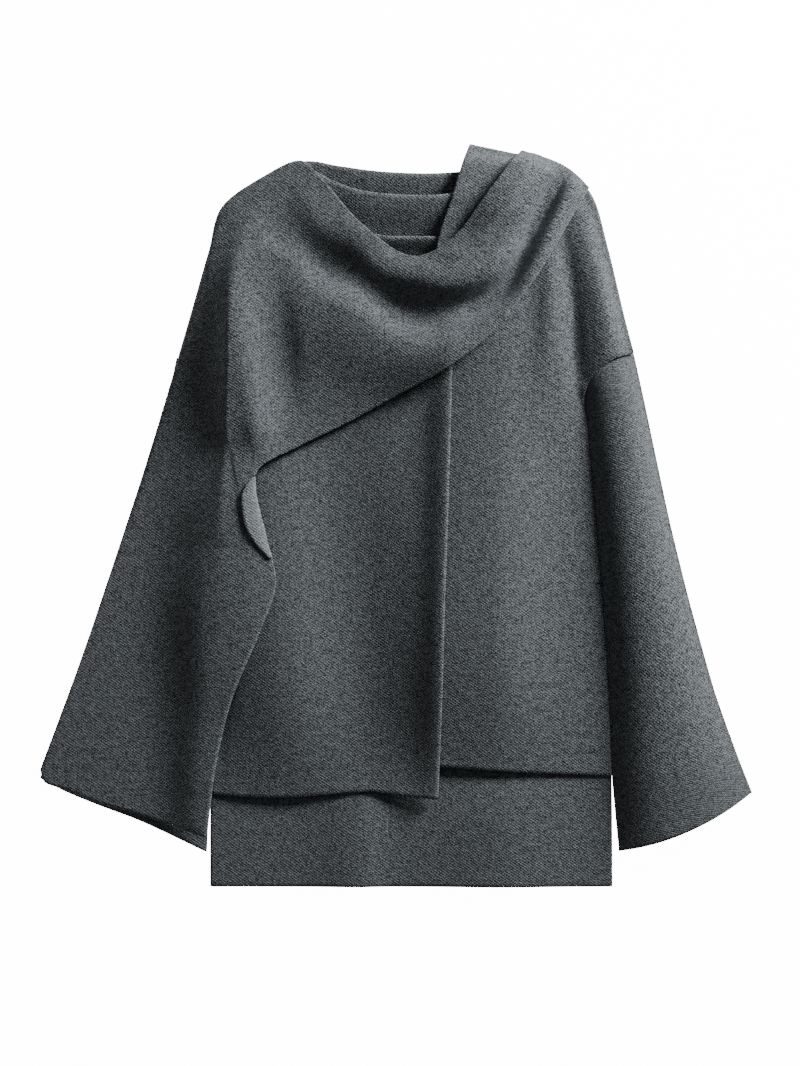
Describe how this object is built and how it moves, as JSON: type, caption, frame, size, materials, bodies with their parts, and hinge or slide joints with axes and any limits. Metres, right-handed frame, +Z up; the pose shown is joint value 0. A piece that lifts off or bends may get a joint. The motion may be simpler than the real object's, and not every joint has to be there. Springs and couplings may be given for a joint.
{
  "type": "knitted poncho sweater",
  "caption": "Knitted poncho sweater laid flat, with a long back, wrapped fronts, one wide sleeve, and a cape that runs on as a cowl scarf over the shoulder.",
  "frame": {"origin": "on the table under the middle of the garment's outline", "axes": "+X towards the left sleeve, +Y from the hem to the neck, +Z up from the table"},
  "size_m": [0.7824, 0.8158, 0.0654],
  "materials": {
    "charcoal_knit": "matte, felted, melange"
  },
  "bodies": {
    "root": {"back_panel": "charcoal_knit", "left_front": "charcoal_knit", "right_front": "charcoal_knit", "left_sleeve": "charcoal_knit", "cape_back": "charcoal_knit", "cape_and_scarf": "charcoal_knit", "scarf_inner_pleat": "charcoal_knit", "scarf_tail": "charcoal_knit"}
  },
  "joints": []
}
